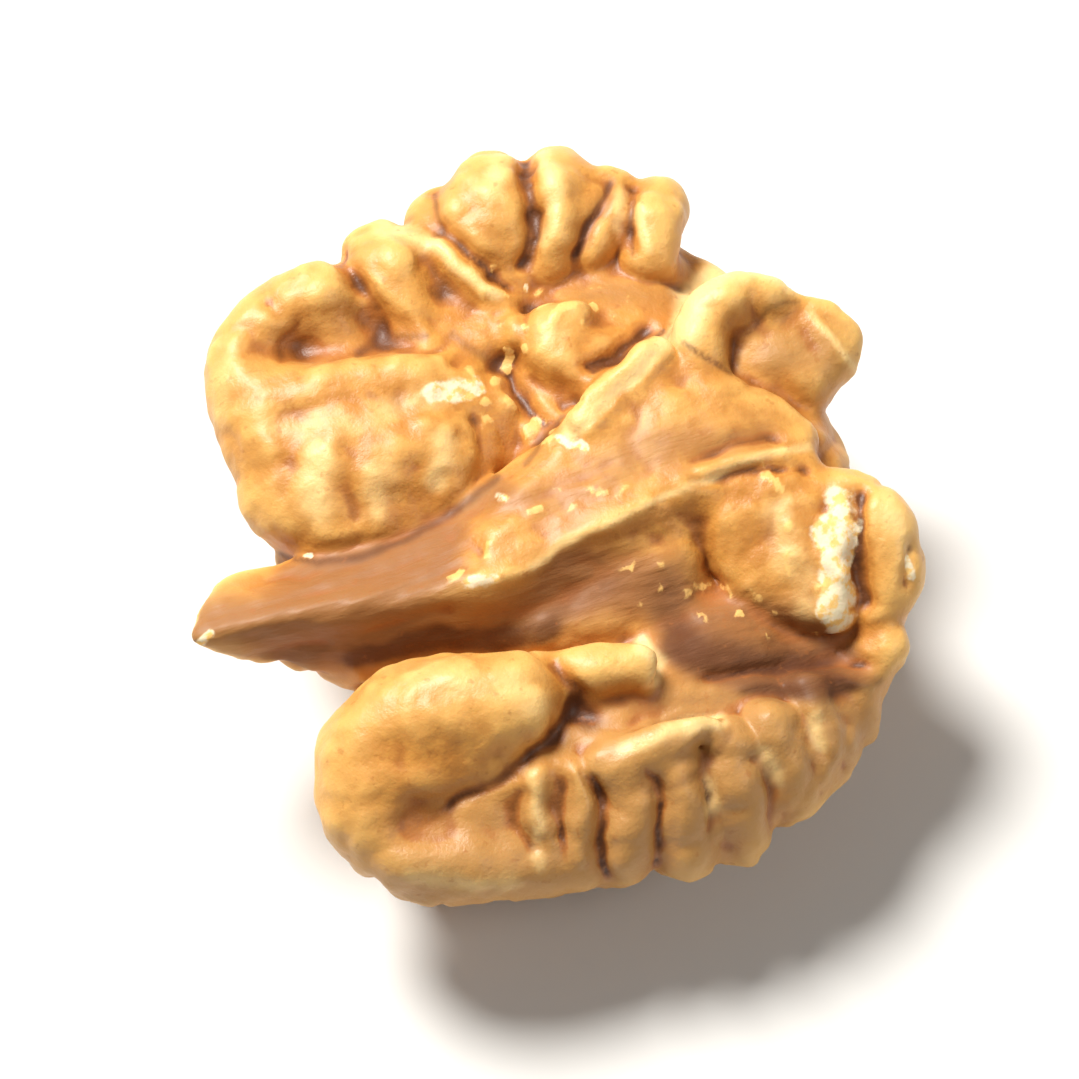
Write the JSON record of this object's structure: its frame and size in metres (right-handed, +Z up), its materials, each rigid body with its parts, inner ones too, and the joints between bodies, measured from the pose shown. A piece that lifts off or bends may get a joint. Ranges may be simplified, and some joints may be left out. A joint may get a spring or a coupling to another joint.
{
  "type": "walnut kernel half",
  "caption": "Shelled walnut kernel half with lumpy, folded lobes on either side of a raised central tongue and a rounded back that it rests on.",
  "frame": {"origin": "centre of the base of the kernel's box, at the level of the table it rests on", "axes": "+X from the tongue's free tip towards its root, +Y across the two lobes, +Z up out of the inner face"},
  "size_m": [0.0298, 0.032, 0.013],
  "materials": {
    "kernel_skin": "thin, waxy golden-tan seed skin, satin, browner in the creases, with a few cream chips where the skin has rubbed off"
  },
  "bodies": {
    "root": {"walnut_kernel_half": "kernel_skin"}
  },
  "joints": []
}
